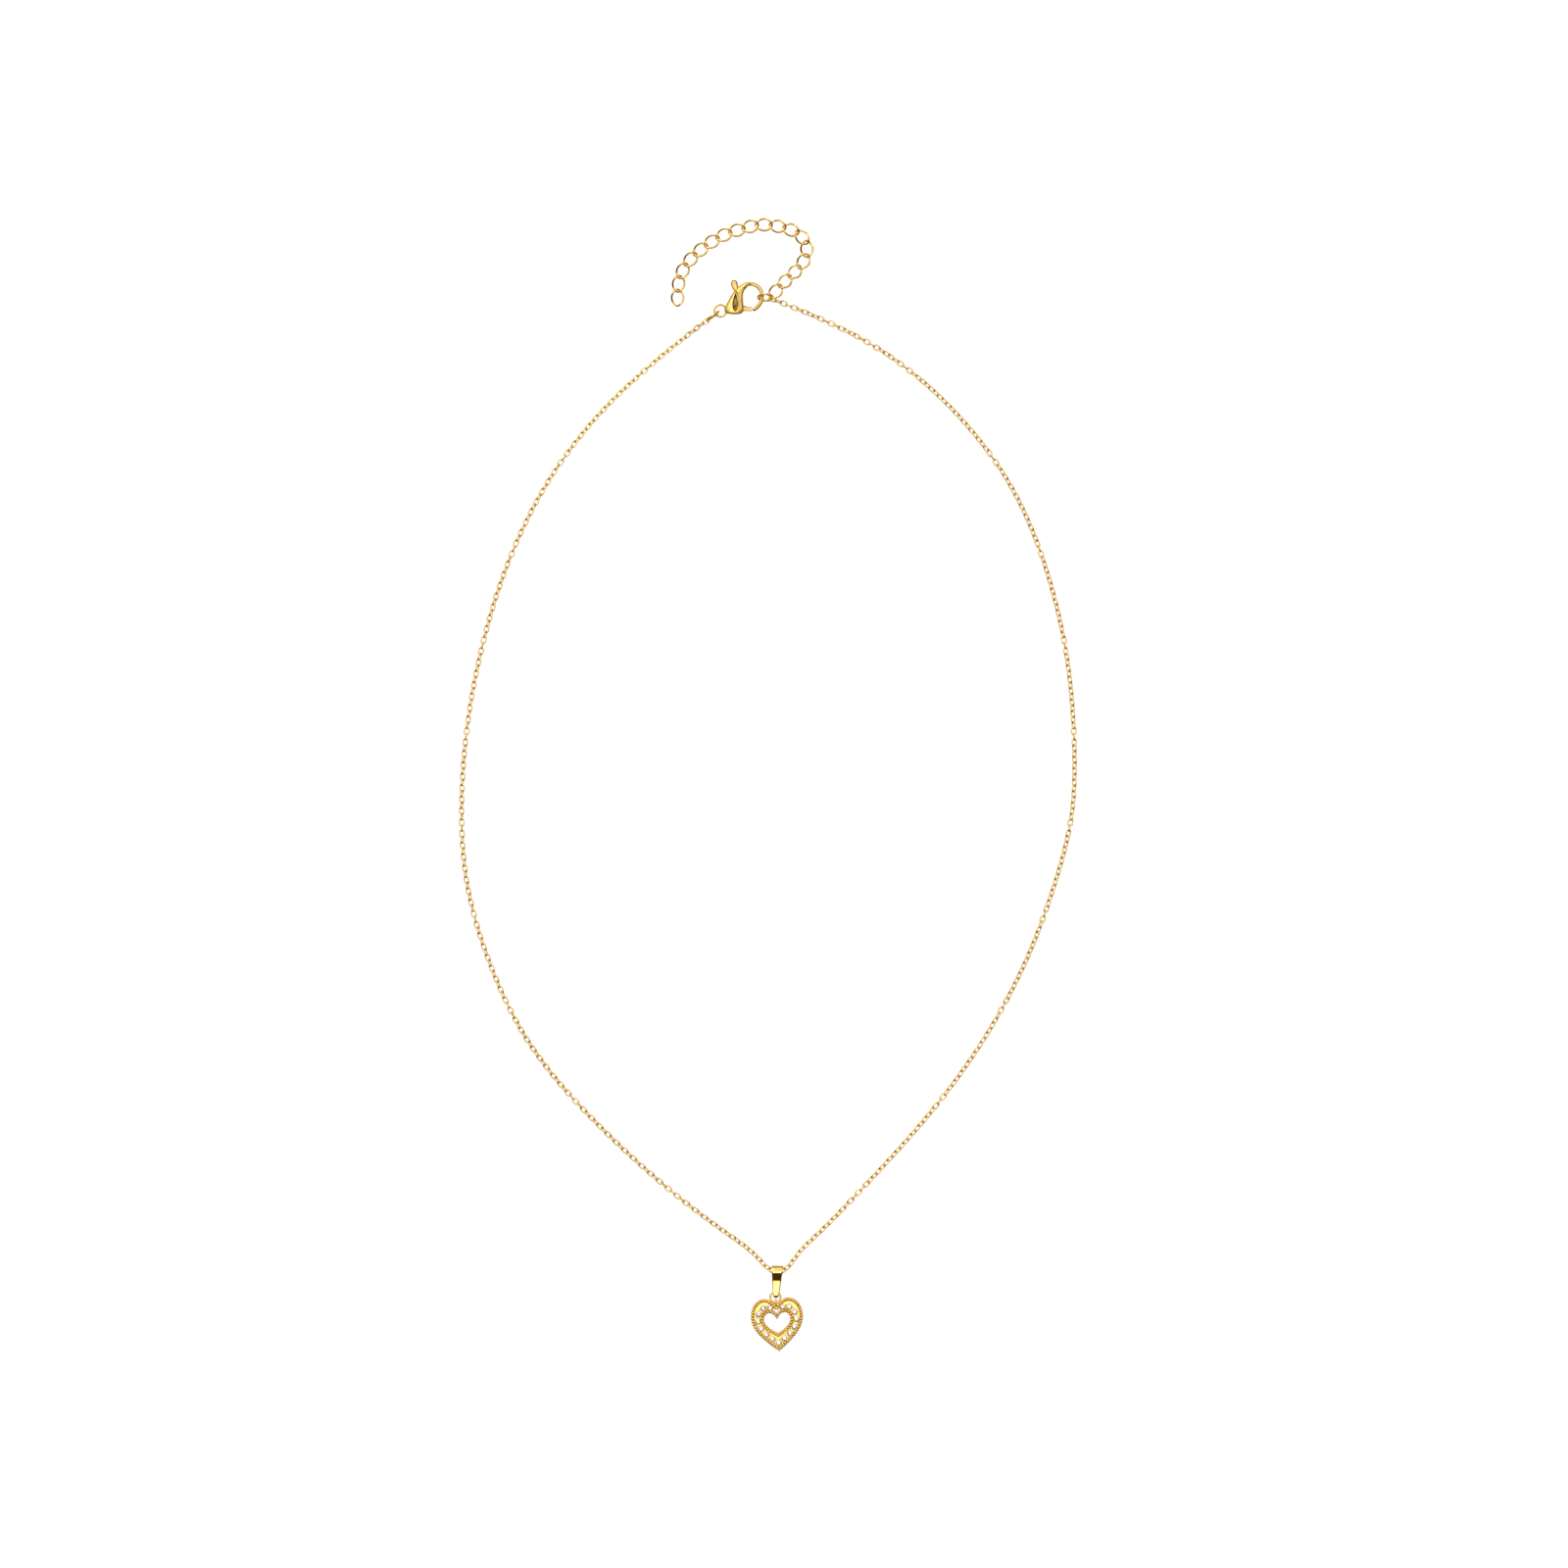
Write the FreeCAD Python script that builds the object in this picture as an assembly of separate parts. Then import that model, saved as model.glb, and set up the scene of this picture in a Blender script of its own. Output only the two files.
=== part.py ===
import FreeCAD
import Part

import math
import os

from FreeCAD import Matrix, Placement, Rotation, Vector

# Fine pendant necklace laid flat on a table: cable chain, lobster clasp, extender chain, open stone-set heart.
# Millimetres. +Z is up from the table, +Y runs from the heart to the clasp, Z = 0 is the table top.

# ---- Cable chain: oval wire links, each turned about a quarter turn from the one before ----
CHAIN_WIRE = 0.25
CHAIN_LINK_LENGTH = 1.65
CHAIN_LINK_WIDTH = 1.15
CHAIN_PITCH_MAX = 1.12
CHAIN_HEIGHT = 0.575
LEFT_ROLL = 24.0
RIGHT_ROLL = 45.0
LAST_TWIST = 13.0
LAST_ROLL = 30.0

# The two sides of the chain bend together at these Y levels.
FOLD_FIRST_Y = -78.0
FOLD_STEP_Y = 17.5
FOLD_COUNT = 10

# ---- Extender: flat twisted links ----
EXT_WIRE = 0.40
EXT_LINK_LENGTH = 3.55
EXT_LINK_WIDTH = 2.70
EXT_TWIST = 45.0
EXT_COUNT = 18
EXT_PITCH = 2.68
EXT_HEIGHT = 0.68

# ---- End rings ----
RING_WIRE = 0.45
RING_MEAN_RADIUS = 1.40
RING_SPLIT = 2.5
RIGHT_RING_TILT = 70.0
RIGHT_RING_CENTRE = Vector(-0.45, 93.10, 1.56)
RIGHT_RING_CHAIN_ANGLE = -32.0
RIGHT_RING_EXT_ANGLE = 26.0
LEFT_RING_HEADING = 217.0
LEFT_RING_HEIGHT = 1.63

# ---- Lobster clasp ----
CLASP_THICKNESS = 2.20
CLASP_EDGE_RADIUS = 0.38
CLASP_EYE = Vector(-9.10, 90.60, 1.10)
CLASP_EYE_MEAN_RADIUS = 1.13
CLASP_EYE_WIRE = 0.43
HOOK_WIRE = 0.72
HOOK_TOP_CENTRE = Vector(-3.40, 93.42, 1.25)
HOOK_TOP_RADIUS = 2.30
HOOK_TIP_CENTRE = Vector(-4.10, 93.42, 1.25)
HOOK_TIP_RADIUS = 3.00
HOOK_TIP_SWEEP = 60.0
LEVER_PIVOT = Vector(-5.35, 91.05, 0.0)
LEVER_Z = (0.68, 1.38)
LEVER_SLOT_Z = (0.62, 1.58)
LEVER_THUMB = Vector(-6.45, 95.83, 0.0)
LEVER_THUMB_RADIUS = 0.66
LEVER_GATE = Vector(-3.43, 90.92, 0.0)
LEVER_GATE_RADIUS = 0.38
RIVET_RADIUS = 0.30

# ---- Bail, jump ring ----
BAIL_STRAP = 0.30
BAIL_TOP_Y = -92.40
BAIL_BOTTOM_Y = -98.62
BAIL_TOP_RADIUS = 1.16
BAIL_BOTTOM_RADIUS = 0.65
BAIL_TOP_WIDTH = 2.30
BAIL_BOTTOM_WIDTH = 1.06
BAIL_TOP_X = 1.84
BAIL_BOTTOM_X = 1.55
BAIL_CHAIN_Z = 1.16
JUMP_WIRE = 0.38
JUMP_MEAN_RADIUS = 1.00
JUMP_CENTRE = Vector(1.45, -98.485, 0.68)

# ---- Heart ----
HEART_CENTRE = Vector(1.85, -103.60, 0.0)
HEART_TURN = 3.9
HEART_THICKNESS = 1.40
BEAD_RADIUS = 0.33
BEAD_INSET = 0.31
EDGE_INSET = 0.15
CHANNEL_INSET = 0.66
CHANNEL_DEPTH = 0.12
GRAIN_RADIUS = 0.14
OUTER_BEADS = 48
INNER_BEADS = 23
STONE_DIAMETER = 1.10
EYE_CENTRE = Vector(1.53, -99.47, 0.69)
EYE_MEAN_RADIUS = 0.50
EYE_WIRE = 0.34
# One side of the heart in its own axes, from the notch to the tip; the other side is its mirror image.
HEART_OUTER_HALF = [(0.0, 3.60), (0.85, 4.42), (2.25, 5.02), (3.85, 4.42), (4.80, 2.95),
                    (5.00, 0.95), (4.35, -0.90), (3.20, -2.42), (1.65, -3.92), (0.0, -5.22)]
HEART_INNER_HALF = [(0.0, 0.85), (0.62, 1.80), (1.45, 2.20), (2.22, 1.78), (2.48, 0.85),
                    (2.10, -0.05), (1.22, -0.92), (0.0, -1.66)]
STONE_HALF = [(0.0, 2.40), (1.16, 3.21), (2.48, 3.21), (3.46, 2.16), (3.71, 0.75),
              (3.20, -0.69), (2.25, -1.85), (1.15, -2.80), (0.0, -3.60)]

# ---- Routes on the table, from the clasp down the left side, through the bail and up the right side ----
LEFT_ROUTE = [(-14.8, 86.4), (-24.0, 78.9), (-31.9, 71.3), (-43.1, 56.3), (-50.2, 41.3), (-54.8, 26.2),
              (-57.6, 11.2), (-58.7, -3.9), (-57.7, -18.9), (-53.5, -33.9), (-46.2, -49.0), (-33.9, -64.0),
              (-17.3, -79.1), (-7.3, -86.6), (-2.3, -90.5)]
BAIL_ROUTE = [(0.28, -93.05), (1.15, -93.54), (1.84, -93.62), (2.53, -93.54), (3.40, -93.05)]
RIGHT_ROUTE = [(5.5, -90.5), (9.3, -86.6), (16.7, -79.1), (30.4, -64.0), (41.4, -49.0), (49.5, -33.9),
               (55.1, -18.9), (58.5, -3.9), (58.8, 3.7), (57.0, 26.2), (53.3, 41.3), (47.0, 56.3),
               (35.8, 71.3), (22.4, 82.6), (7.8, 90.1)]
EXT_ROUTE = [(1.75, 94.4), (3.3, 96.2), (5.3, 98.0), (7.0, 100.1), (7.75, 102.6), (6.6, 105.0), (3.9, 106.4),
             (1.1, 107.0), (-1.7, 107.2), (-4.0, 106.6), (-6.5, 105.9), (-8.9, 105.0), (-10.8, 103.8),
             (-13.0, 102.3), (-15.0, 100.3), (-16.6, 98.0), (-17.2, 95.5), (-17.3, 91.8)]


def smooth(t):
    """Ease from 0 to 1 with level ends."""
    t = min(max(t, 0.0), 1.0)
    return t * t * (3.0 - 2.0 * t)


def through(points):
    """Smooth curve through plan points."""
    curve = Part.BSplineCurve()
    curve.interpolate(Points=[Vector(*p) for p in points])
    return curve


def ring_point(centre, across, up, radius, angle):
    a = math.radians(angle)
    return centre + across * (radius * math.cos(a)) + up * (radius * math.sin(a))


def heart_plan(u, v, z=0.0):
    """A point of the heart's own axes, put in the necklace's axes."""
    t = math.radians(HEART_TURN)
    return HEART_CENTRE + Vector(u * math.cos(t) - v * math.sin(t), u * math.sin(t) + v * math.cos(t), z)


# Right ring: its long direction is X, and it leans over the table.
RIGHT_RING_ACROSS = Vector(1, 0, 0)
RIGHT_RING_UP = Vector(0, math.cos(math.radians(RIGHT_RING_TILT)), math.sin(math.radians(RIGHT_RING_TILT)))
RIGHT_RING_NORMAL = RIGHT_RING_ACROSS.cross(RIGHT_RING_UP)

# Left ring: stands upright and points along its heading, through the clasp's eye.
LEFT_RING_ACROSS = Vector(math.cos(math.radians(LEFT_RING_HEADING)), math.sin(math.radians(LEFT_RING_HEADING)), 0)
LEFT_RING_CENTRE = Vector(CLASP_EYE.x, CLASP_EYE.y, 0) + LEFT_RING_ACROSS * 1.83 + Vector(0, 0, LEFT_RING_HEIGHT)


def chain_ends():
    """Where the first and last chain links hold the two end rings."""
    reach = 0.5 * CHAIN_WIRE + 0.5 * RING_WIRE + 0.08
    step = reach - 0.5 * (CHAIN_WIRE + 0.03)
    left_wire = ring_point(LEFT_RING_CENTRE, LEFT_RING_ACROSS, Vector(0, 0, 1), RING_MEAN_RADIUS, 0)
    left_way = (left_wire - Vector(*LEFT_ROUTE[0], left_wire.z)).normalize()
    right_wire = ring_point(RIGHT_RING_CENTRE, RIGHT_RING_ACROSS, RIGHT_RING_UP, RING_MEAN_RADIUS,
                            RIGHT_RING_CHAIN_ANGLE)
    right_way = (right_wire - Vector(*RIGHT_ROUTE[-1], right_wire.z)).normalize()
    return left_wire + left_way * step, right_wire + right_way * step


def chain_curve():
    left_end, right_end = chain_ends()
    plan = [(left_end.x, left_end.y)] + LEFT_ROUTE + BAIL_ROUTE + RIGHT_ROUTE + [(right_end.x, right_end.y)]
    return through([(x, y, 0) for x, y in plan])


def parameter_at_level(curve, level, low, high):
    """The curve's parameter between low and high where Y equals level."""
    rising = curve.value(high).y > curve.value(low).y
    for _ in range(60):
        middle = 0.5 * (low + high)
        if (curve.value(middle).y < level) == rising:
            low = middle
        else:
            high = middle
    return 0.5 * (low + high)


def chain_cuts():
    """Curve, and the parameters that bound every stretch of chain from the left end to the right end."""
    curve = chain_curve()
    first, last = curve.FirstParameter, curve.LastParameter
    low, high = first, last
    for _ in range(80):
        a = low + (high - low) / 3.0
        b = high - (high - low) / 3.0
        if curve.value(a).y < curve.value(b).y:
            high = b
        else:
            low = a
    bottom = 0.5 * (low + high)
    levels = [FOLD_FIRST_Y + FOLD_STEP_Y * i for i in range(FOLD_COUNT)]
    left = [parameter_at_level(curve, y, first, bottom) for y in levels]
    right = [parameter_at_level(curve, y, bottom, last) for y in levels]
    return curve, [first] + left[::-1] + right + [last], bottom


def chain_names():
    left = ["chain_left_%02d" % i for i in range(FOLD_COUNT, 0, -1)]
    right = ["chain_right_%02d" % i for i in range(1, FOLD_COUNT + 1)]
    return left + ["chain_centre"] + right


def chain_stretches():
    """For every stretch: its name, the points where its links meet, and each link's roll."""
    curve, cuts, bottom = chain_cuts()
    left_end, right_end = chain_ends()
    total = curve.length(cuts[0], cuts[-1])
    at_bottom = curve.length(cuts[0], bottom)
    result = []
    count = 0
    for name, start, end in zip(chain_names(), cuts[:-1], cuts[1:]):
        run = curve.length(start, end)
        base = curve.length(cuts[0], start) if start > cuts[0] else 0.0
        number = int(math.ceil(run / CHAIN_PITCH_MAX))
        meets = []
        for i in range(number + 1):
            along = run * i / number
            p = curve.value(curve.parameterAtDistance(along, start)) if i else curve.value(start)
            s = base + along
            z = CHAIN_HEIGHT
            z += (BAIL_CHAIN_Z - CHAIN_HEIGHT) * smooth(1.0 - (abs(s - at_bottom) - 1.5) / 8.0)
            z += (left_end.z - CHAIN_HEIGHT) * smooth(1.0 - s / 6.0)
            z += (right_end.z - CHAIN_HEIGHT) * smooth(1.0 - (total - s) / 5.0)
            meets.append(Vector(p.x, p.y, z))
        rolls = []
        for i in range(number):
            inside = math.sin(math.pi * (i + 0.5) / number)
            ease = smooth(2.2 * inside)
            if name == "chain_centre":
                turn = LEFT_ROLL * ease + (RIGHT_ROLL - LEFT_ROLL) * ease * smooth((i + 0.5) / number * 1.6)
            elif "left" in name:
                turn = LEFT_ROLL * ease
            elif name.endswith("%02d" % FOLD_COUNT):
                quarter_turns = 90.0 * (count + number - 1)
                whole = 180.0 * round((quarter_turns + LAST_TWIST * number) / 180.0) + LAST_ROLL
                turn = (whole - quarter_turns) * i / (number - 1)
            else:
                turn = RIGHT_ROLL * ease
            rolls.append(90.0 * (count + i) + turn)
        count += number
        result.append((name, meets, rolls))
    # The end links lie across the wire of their rings.
    result[0][2][0] = 90.0 * round(result[0][2][0] / 180.0) * 2.0
    return result


def frame_along(start, end, roll=0.0):
    """Placement with X along start to end and Z turned from upright by the roll angle."""
    x = (end - start).normalize()
    y = Vector(0, 0, 1).cross(x).normalize()
    z = x.cross(y)
    r = math.radians(roll)
    zr = z * math.cos(r) - y * math.sin(r)
    return Placement((start + end) * 0.5, Rotation(x, Vector(), zr, "XZY"))


def oval_link(length, width, wire):
    """Oval link in the XY plane, long axis X, centred on the origin."""
    r = 0.5 * (width - wire)
    s = 0.5 * (length - width)
    corners = [Vector(-s, -r, 0), Vector(s, -r, 0), Vector(s, r, 0), Vector(-s, r, 0)]
    path = Part.Wire([
        Part.makeLine(corners[0], corners[1]),
        Part.Arc(corners[1], Vector(s + r, 0, 0), corners[2]).toShape(),
        Part.makeLine(corners[2], corners[3]),
        Part.Arc(corners[3], Vector(-s - r, 0, 0), corners[0]).toShape(),
    ])
    section = Part.Wire([Part.makeCircle(wire / 2, corners[0], Vector(1, 0, 0))])
    return path.makePipeShell([section], True, True)


def twisted_link(length, width, wire, twist):
    """Oval link whose two ends are turned opposite ways about the long axis, so that a row of them lies flat."""
    n_path = 16
    n_round = 8
    a = 0.5 * (length - wire)
    b = 0.5 * (width - wire)
    keep_path = 3.0 / (2.0 + math.cos(2.0 * math.pi / n_path))
    keep_round = 3.0 / (2.0 + math.cos(2.0 * math.pi / n_round))

    def lean(t):
        return math.radians(twist) * math.cos(t)

    def centre(t):
        v = b * math.sin(t)
        return Vector(a * math.cos(t), v * math.cos(lean(t)), v * math.sin(lean(t)))

    poles = []
    for i in range(n_path):
        t = 2.0 * math.pi * i / n_path
        along = (centre(t + 1e-4) - centre(t - 1e-4)).normalize()
        side = along.cross(Vector(0, -math.sin(lean(t)), math.cos(lean(t)))).normalize()
        face = side.cross(along)
        row = []
        for j in range(n_round):
            f = 2.0 * math.pi * j / n_round
            row.append(centre(t) * keep_path + (side * math.cos(f) + face * math.sin(f)) * (0.5 * wire * keep_round))
        poles.append(row)
    surface = Part.BSplineSurface()
    surface.buildFromPolesMultsKnots(poles, [1] * (n_path + 1), [1] * (n_round + 1),
                                     list(range(n_path + 1)), list(range(n_round + 1)), True, True, 3, 3)
    solid = Part.Solid(Part.Shell([surface.toShape()]))
    if solid.Volume < 0:
        solid.reverse()
    return solid


def split_ring(radius, wire, centre, across, normal, split_at):
    """Round wire ring with the fine slit where it was closed; split_at is measured from across about normal."""
    ring = Part.makeTorus(radius, wire / 2, Vector(), Vector(0, 0, 1), -180, 180, 360 - RING_SPLIT)
    ring.rotate(Vector(), Vector(0, 0, 1), split_at + RING_SPLIT / 2)
    y = normal.cross(across)
    ring.Placement = Placement(centre, Rotation(across, y, normal, "ZXY")).multiply(ring.Placement)
    return ring


def chain_nodes():
    link = oval_link(CHAIN_LINK_LENGTH, CHAIN_LINK_WIDTH, CHAIN_WIRE)
    nodes = {}
    for name, meets, rolls in chain_stretches():
        links = []
        for start, end, roll in zip(meets[:-1], meets[1:], rolls):
            copy = link.copy()
            copy.Placement = frame_along(start, end, roll)
            links.append(copy)
        nodes[name] = links
    return nodes


def extender_meets():
    """Points where the extender's links meet, from the right ring to the free end."""
    wire = ring_point(RIGHT_RING_CENTRE, RIGHT_RING_ACROSS, RIGHT_RING_UP, RING_MEAN_RADIUS, RIGHT_RING_EXT_ANGLE)
    way = (Vector(*EXT_ROUTE[0], 0) - Vector(wire.x, wire.y, 0)).normalize()
    start = wire - way * 0.235
    curve = through([(start.x, start.y, 0)] + [(x, y, 0) for x, y in EXT_ROUTE])
    run = min(curve.length(), EXT_COUNT * EXT_PITCH)
    meets = []
    for i in range(EXT_COUNT + 1):
        along = run * i / EXT_COUNT
        p = curve.value(curve.parameterAtDistance(along, curve.FirstParameter)) if i else curve.value(
            curve.FirstParameter)
        z = EXT_HEIGHT + (start.z - EXT_HEIGHT) * smooth(1.0 - (i - 0.15) / 3.6)
        meets.append(Vector(p.x, p.y, z))
    return meets


def extender_nodes():
    link = twisted_link(EXT_LINK_LENGTH, EXT_LINK_WIDTH, EXT_WIRE, EXT_TWIST)
    meets = extender_meets()
    nodes = {}
    for i in range(EXT_COUNT):
        copy = link.copy()
        copy.Placement = frame_along(meets[i], meets[i + 1])
        nodes["extender_link_%02d" % (i + 1)] = [copy]
    return nodes


def ring_nodes():
    right = split_ring(RING_MEAN_RADIUS, RING_WIRE, RIGHT_RING_CENTRE, RIGHT_RING_ACROSS, RIGHT_RING_NORMAL, 90)
    left = split_ring(RING_MEAN_RADIUS, RING_WIRE, LEFT_RING_CENTRE, LEFT_RING_ACROSS,
                      LEFT_RING_ACROSS.cross(Vector(0, 0, 1)), 80)
    jump = split_ring(JUMP_MEAN_RADIUS, JUMP_WIRE, JUMP_CENTRE, Vector(1, 0, 0), Vector(0, 0, 1), 20)
    return {"ring_right": [right], "ring_left": [left], "ring_pendant": [jump]}


def prism(points, low, high, closed_curve=False):
    """Upright prism over a plan outline."""
    corners = [Vector(x, y, low) for x, y in points]
    if closed_curve:
        curve = Part.BSplineCurve()
        curve.interpolate(Points=corners, PeriodicFlag=True)
        wire = Part.Wire([curve.toShape()])
    else:
        wire = Part.makePolygon(corners + corners[:1])
    return Part.Face(wire).extrude(Vector(0, 0, high - low))


def rounded_prism(points, thickness, radius):
    """Upright plate over a smooth closed outline, its two rims rounded in steps."""
    count = len(points)
    area = sum(points[i - 1][0] * points[i][1] - points[i][0] * points[i - 1][1] for i in range(count))
    turn = 1.0 if area > 0 else -1.0
    inward = []
    for i in range(count):
        dx = points[(i + 1) % count][0] - points[i - 1][0]
        dy = points[(i + 1) % count][1] - points[i - 1][1]
        size = math.hypot(dx, dy)
        inward.append((-dy / size * turn, dx / size * turn))
    wires = []
    angles = (0.0, 30.0, 60.0, 90.0)
    rims = [(radius * (1 - math.sin(math.radians(a))), radius * (1 - math.cos(math.radians(a)))) for a in angles]
    levels = [(depth, z) for depth, z in rims] + [(depth, thickness - z) for depth, z in rims[::-1]]
    for depth, z in levels:
        curve = Part.BSplineCurve()
        curve.interpolate(Points=[Vector(x + nx * depth, y + ny * depth, z)
                                  for (x, y), (nx, ny) in zip(points, inward)], PeriodicFlag=True)
        wires.append(Part.Wire([curve.toShape()]))
    return Part.makeLoft(wires, True, True)


def bar(start, end, radius, low, high):
    """Straight bar with one round end, standing between two heights."""
    way = Vector(end.x - start.x, end.y - start.y, 0).normalize()
    side = Vector(-way.y, way.x, 0) * radius
    a = Vector(start.x, start.y, 0)
    b = Vector(end.x, end.y, 0)
    corners = [a + side, a - side, b - side, b + side]
    block = prism([(p.x, p.y) for p in corners], low, high)
    cap = Part.makeCylinder(radius, high - low, Vector(b.x, b.y, low))
    return block.fuse(cap).removeSplitter()


def hook():
    """Round hook: a wide bend over the top and a longer bend down to the tip."""
    top = Part.makeTorus(HOOK_TOP_RADIUS, HOOK_WIRE / 2, Vector(), Vector(0, 0, 1), -180, 180, 122)
    top.translate(HOOK_TOP_CENTRE)
    tip = Part.makeTorus(HOOK_TIP_RADIUS, HOOK_WIRE / 2, Vector(), Vector(0, 0, 1), -180, 180, HOOK_TIP_SWEEP)
    tip.rotate(Vector(), Vector(0, 0, 1), -HOOK_TIP_SWEEP)
    tip.translate(HOOK_TIP_CENTRE)
    a = math.radians(HOOK_TIP_SWEEP)
    end = HOOK_TIP_CENTRE + Vector(math.cos(a), -math.sin(a), 0) * HOOK_TIP_RADIUS
    return top.multiFuse([tip, Part.makeSphere(HOOK_WIRE / 2, end)]).removeSplitter()


def clasp_nodes():
    outline = [(-8.30, 90.85), (-7.65, 92.35), (-6.70, 94.00), (-5.55, 95.25), (-4.30, 95.95), (-3.50, 95.66),
               (-4.05, 95.02), (-4.66, 93.80), (-4.74, 92.40), (-4.64, 91.10), (-4.85, 90.25), (-5.90, 89.92),
               (-7.30, 89.98), (-8.20, 90.25)]
    body = rounded_prism(outline, CLASP_THICKNESS, CLASP_EDGE_RADIUS)
    slot = prism([(-3.9, 90.40), (-3.9, 92.45), (-4.95, 92.45), (-5.38, 93.40), (-5.52, 95.00), (-5.60, 97.40),
                  (-10.0, 97.40), (-9.60, 95.90), (-6.02, 90.85), (-5.70, 90.40)], LEVER_SLOT_Z[0],
                 LEVER_SLOT_Z[1])
    body = body.cut(slot)
    eye = Part.makeTorus(CLASP_EYE_MEAN_RADIUS, CLASP_EYE_WIRE / 2, CLASP_EYE, Vector(0, 0, 1))
    eye_hole = Part.makeCylinder(CLASP_EYE_MEAN_RADIUS - CLASP_EYE_WIRE / 2 + 0.06, 3.0,
                                 Vector(CLASP_EYE.x, CLASP_EYE.y, -0.4))
    body = body.cut(eye_hole)
    body = body.multiFuse([eye, hook()])
    recess = prism([(-5.95, 94.15), (-5.62, 93.30), (-5.64, 92.30), (-5.84, 91.40), (-5.98, 90.62), (-6.35, 90.45),
                    (-6.68, 90.80), (-6.72, 91.80), (-6.48, 93.10), (-6.22, 93.90)], LEVER_SLOT_Z[1] - 0.05,
                   CLASP_THICKNESS + 0.2, closed_curve=True)
    body = body.cut(recess)
    bore = Part.makeCylinder(RIVET_RADIUS, 4.0, Vector(LEVER_PIVOT.x, LEVER_PIVOT.y, -1.0))
    body = body.cut(bore).removeSplitter()
    low, high = LEVER_Z
    hub = Part.makeCylinder(0.60, high - low, Vector(LEVER_PIVOT.x, LEVER_PIVOT.y, low))
    thumb_arm = bar(LEVER_PIVOT, LEVER_THUMB, 0.42, low, high)
    thumb_low, thumb_high = 0.50, 1.55
    thumb = Part.makeCylinder(LEVER_THUMB_RADIUS, thumb_high - thumb_low,
                              Vector(LEVER_THUMB.x, LEVER_THUMB.y, thumb_low))
    thumb_base = prism([(-5.62, 95.25), (LEVER_THUMB.x + LEVER_THUMB_RADIUS, LEVER_THUMB.y + 0.02),
                        (LEVER_THUMB.x - LEVER_THUMB_RADIUS, LEVER_THUMB.y - 0.05), (-6.70, 95.05)],
                       thumb_low, thumb_high)
    thumb = thumb.fuse(thumb_base).removeSplitter()
    gate = bar(LEVER_PIVOT, LEVER_GATE, LEVER_GATE_RADIUS, low, high)
    lever = hub.multiFuse([thumb_arm, thumb, gate]).removeSplitter()
    lever = lever.cut(Part.makeCylinder(RIVET_RADIUS + 0.03, 4.0, Vector(LEVER_PIVOT.x, LEVER_PIVOT.y, -1.0)))
    rivet = Part.makeCylinder(RIVET_RADIUS, CLASP_THICKNESS - 0.20, Vector(LEVER_PIVOT.x, LEVER_PIVOT.y, 0.06))
    spring = Part.makeTorus(0.46, 0.06, Vector(LEVER_PIVOT.x, LEVER_PIVOT.y, 1.48), Vector(0, 0, 1))
    return {"clasp_body": [body], "clasp_lever": [lever], "clasp_rivet": [rivet], "clasp_spring": [spring]}


def loop_profile(inset):
    """Side outline of the bail's folded strap: two arcs joined by the straight front and back."""
    r1 = BAIL_TOP_RADIUS - inset
    r2 = BAIL_BOTTOM_RADIUS - inset
    c1 = Vector(0, BAIL_TOP_Y - BAIL_TOP_RADIUS, BAIL_TOP_RADIUS)
    c2 = Vector(0, BAIL_BOTTOM_Y + BAIL_BOTTOM_RADIUS, BAIL_BOTTOM_RADIUS)
    line = c2 - c1
    lean = math.atan2(line.z, line.y)
    open_angle = math.acos((r1 - r2) / line.Length)

    def on(c, r, angle):
        return c + Vector(0, r * math.cos(angle), r * math.sin(angle))

    up, down = lean - open_angle, lean + open_angle
    return Part.Wire([
        Part.Arc(on(c1, r1, up), on(c1, r1, lean + math.pi), on(c1, r1, down)).toShape(),
        Part.makeLine(on(c1, r1, down), on(c2, r2, down)),
        Part.Arc(on(c2, r2, down), on(c2, r2, lean), on(c2, r2, up)).toShape(),
        Part.makeLine(on(c2, r2, up), on(c1, r1, up)),
    ])


def bail_nodes():
    width = Vector(4.0, 0, 0)
    outer = Part.Face(loop_profile(0.0)).extrude(width)
    inner = Part.Face(loop_profile(BAIL_STRAP)).extrude(width)
    strap = outer.cut(inner)
    strap.translate(Vector(BAIL_TOP_X - 2.0, 0, 0))
    half_top = BAIL_TOP_WIDTH / 2
    half_low = BAIL_BOTTOM_WIDTH / 2
    top = BAIL_TOP_Y + 0.1
    low = BAIL_BOTTOM_Y + half_low
    left_top = Vector(BAIL_TOP_X - half_top, top, -0.5)
    left_mid = Vector(0.5 * (BAIL_TOP_X + BAIL_BOTTOM_X) - 0.76, 0.5 * (top + low), -0.5)
    left_low = Vector(BAIL_BOTTOM_X - half_low, low, -0.5)
    right_top = Vector(BAIL_TOP_X + half_top, top, -0.5)
    right_mid = Vector(0.5 * (BAIL_TOP_X + BAIL_BOTTOM_X) + 0.76, 0.5 * (top + low), -0.5)
    right_low = Vector(BAIL_BOTTOM_X + half_low, low, -0.5)
    outline = Part.Wire([
        Part.Arc(left_top, left_mid, left_low).toShape(),
        Part.Arc(left_low, Vector(BAIL_BOTTOM_X, BAIL_BOTTOM_Y - 0.02, -0.5), right_low).toShape(),
        Part.Arc(right_low, right_mid, right_top).toShape(),
        Part.makeLine(right_top, left_top),
    ])
    taper = Part.Face(outline).extrude(Vector(0, 0, 4.0))
    return {"bail": [strap.common(taper)]}


def mirrored(half):
    return half + [(-u, v) for u, v in half[-2:0:-1]]


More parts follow.
